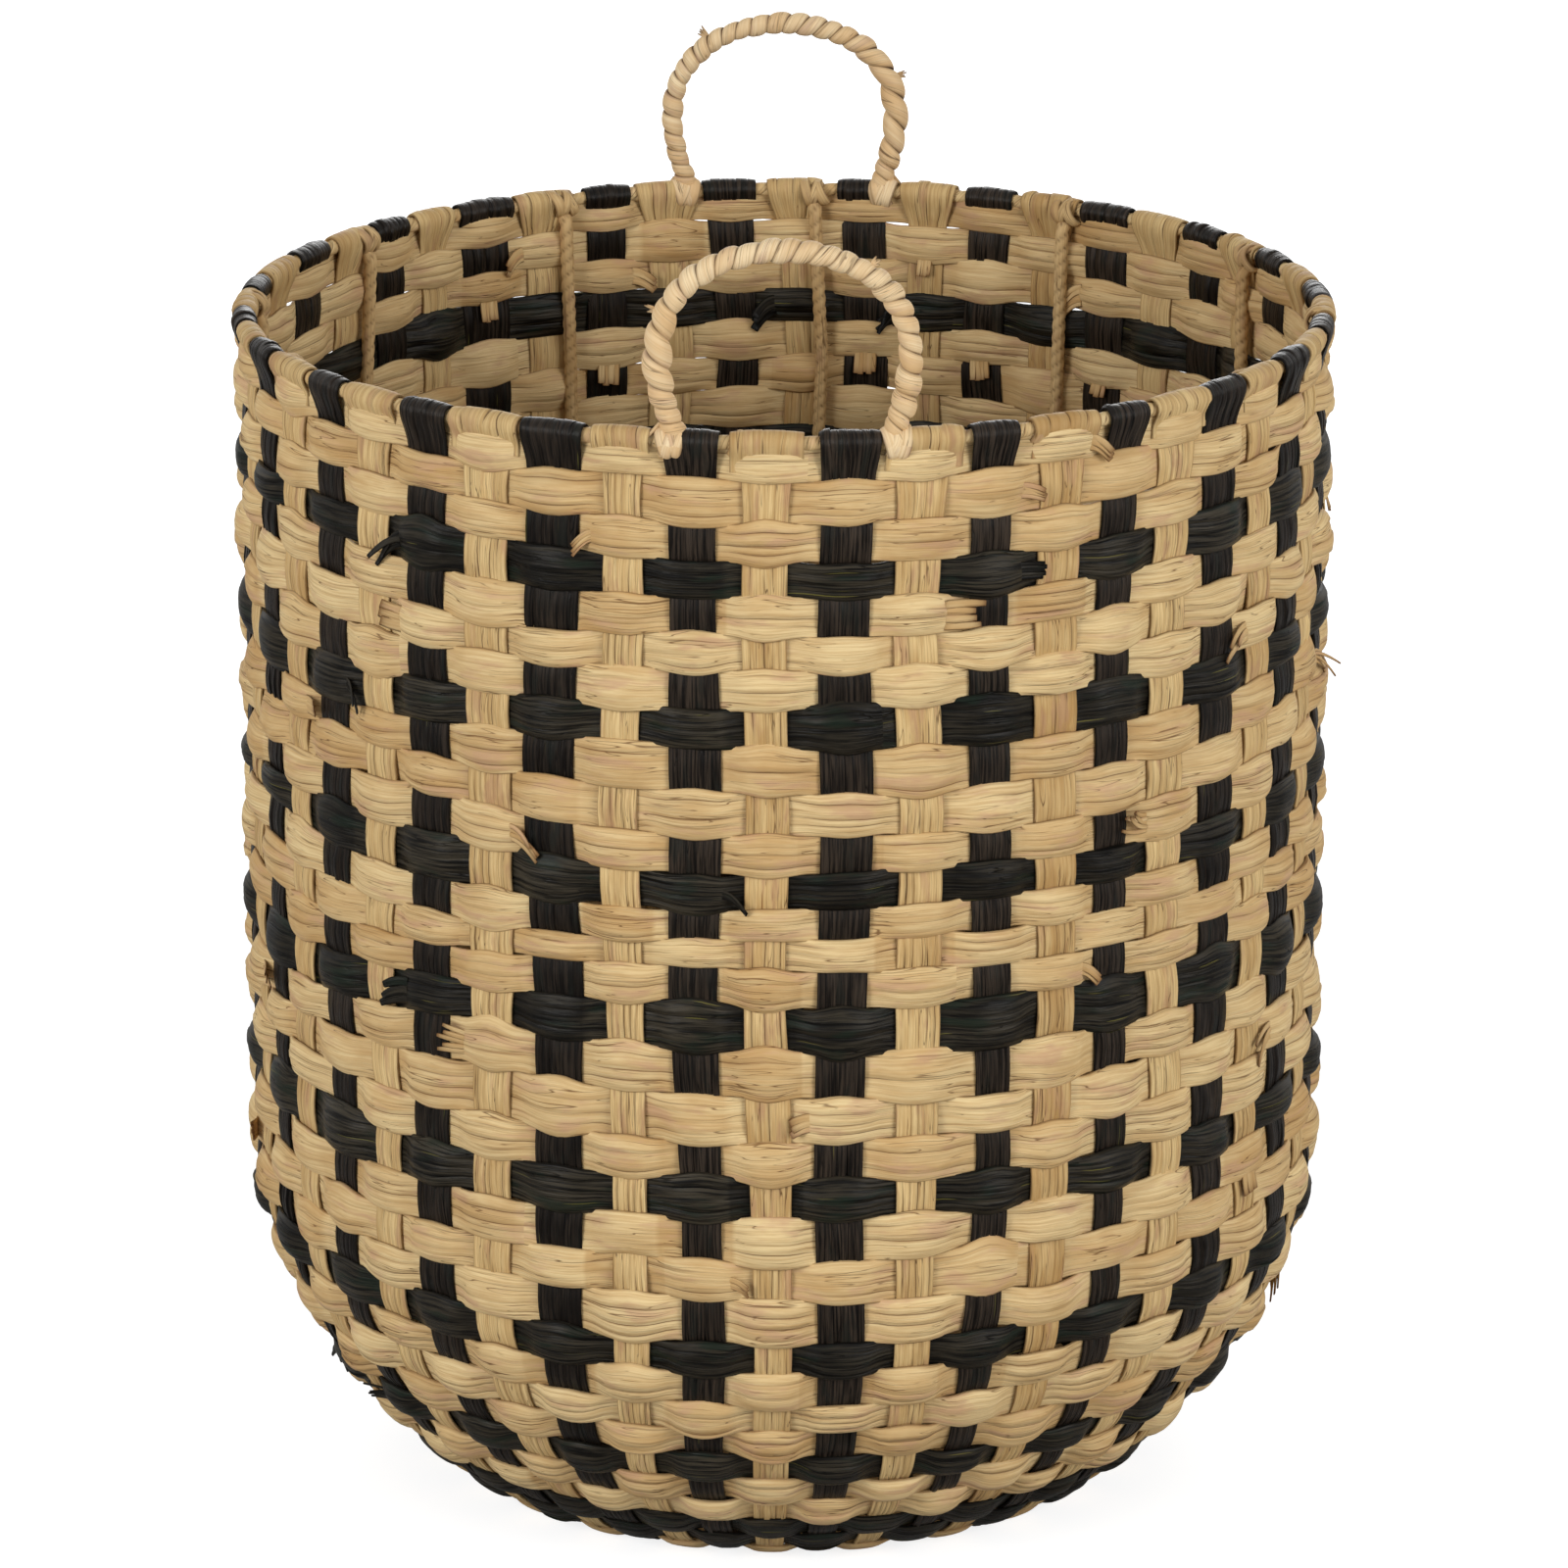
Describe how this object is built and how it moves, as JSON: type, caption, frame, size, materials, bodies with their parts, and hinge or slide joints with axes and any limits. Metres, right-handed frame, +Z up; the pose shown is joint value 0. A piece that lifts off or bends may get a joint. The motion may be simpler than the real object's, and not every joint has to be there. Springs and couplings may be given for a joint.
{
  "type": "basket",
  "caption": "Tall round basket plainly woven from natural and black water hyacinth strips on a wire frame, with a wrapped wire arch handle at the front and at the back.",
  "frame": {"origin": "middle of the underside, on the plane the basket stands on", "axes": "+Z up through the opening; the handles stand on the -Y (front) and +Y (back) sides of the rim; +X to the right seen from the front"},
  "size_m": [0.4, 0.4, 0.5071],
  "materials": {
    "natural_weaver": "dried plant fibre, matt",
    "natural_stake": "dried plant fibre, matt",
    "black_weaver": "black dyed plant fibre, slight sheen",
    "black_stake": "black dyed plant fibre, matt",
    "wrapped_wire": "iron wire wrapped in twisted fibre",
    "handle_wire": "plain iron wire",
    "handle_strip": "dried plant fibre, matt"
  },
  "bodies": {
    "root": {"weaver_01_natural": "natural_weaver", "weaver_02_natural": "natural_weaver", "weaver_03_natural": "natural_weaver", "weaver_04_black": "black_weaver", "weaver_05_natural": "natural_weaver", "weaver_06_natural": "natural_weaver", "weaver_07_natural": "natural_weaver", "weaver_08_black": "black_weaver", "weaver_09_natural": "natural_weaver", "weaver_10_natural": "natural_weaver", "weaver_11_natural": "natural_weaver", "weaver_12_black": "black_weaver", "weaver_13_natural": "natural_weaver", "weaver_14_natural": "natural_weaver", "weaver_15_natural": "natural_weaver", "weaver_16_black": "black_weaver", "weaver_17_natural": "natural_weaver", "weaver_18_natural": "natural_weaver", "weaver_19_natural": "natural_weaver", "weaver_20_black": "black_weaver", "weaver_21_natural": "natural_weaver", "weaver_22_natural": "natural_weaver", "weaver_23_natural": "natural_weaver", "weaver_24_black": "black_weaver", "weaver_25_natural": "natural_weaver", "weaver_26_natural": "natural_weaver", "weaver_27_natural": "natural_weaver", "weaver_28_black": "black_weaver", "weaver_29_natural": "natural_weaver", "weaver_30_natural": "natural_weaver", "weaver_31_black": "black_weaver", "lengthwise_strip_01_natural": "natural_stake", "lengthwise_strip_02_black": "black_stake", "lengthwise_strip_03_natural": "natural_stake", "lengthwise_strip_04_black": "black_stake", "lengthwise_strip_05_natural": "natural_stake", "lengthwise_strip_06_black": "black_stake", "lengthwise_strip_07_natural": "natural_stake", "lengthwise_strip_08_black": "black_stake", "lengthwise_strip_09_natural": "natural_stake", "lengthwise_strip_10_black": "black_stake", "lengthwise_strip_11_natural": "natural_stake", "lengthwise_strip_12_black": "black_stake", "lengthwise_strip_13_natural": "natural_stake", "crosswise_strip_01_black": "black_stake", "crosswise_strip_02_natural": "natural_stake", "crosswise_strip_03_black": "black_stake", "crosswise_strip_04_natural": "natural_stake", "crosswise_strip_05_black": "black_stake", "crosswise_strip_06_natural": "natural_stake", "crosswise_strip_07_black": "black_stake", "crosswise_strip_08_natural": "natural_stake", "crosswise_strip_09_black": "black_stake", "crosswise_strip_10_natural": "natural_stake", "crosswise_strip_11_black": "black_stake", "wire_frame": "wrapped_wire", "front_handle_wire": "handle_wire", "front_handle_winding": "handle_strip", "back_handle_wire": "handle_wire", "back_handle_winding": "handle_strip"}
  },
  "joints": []
}
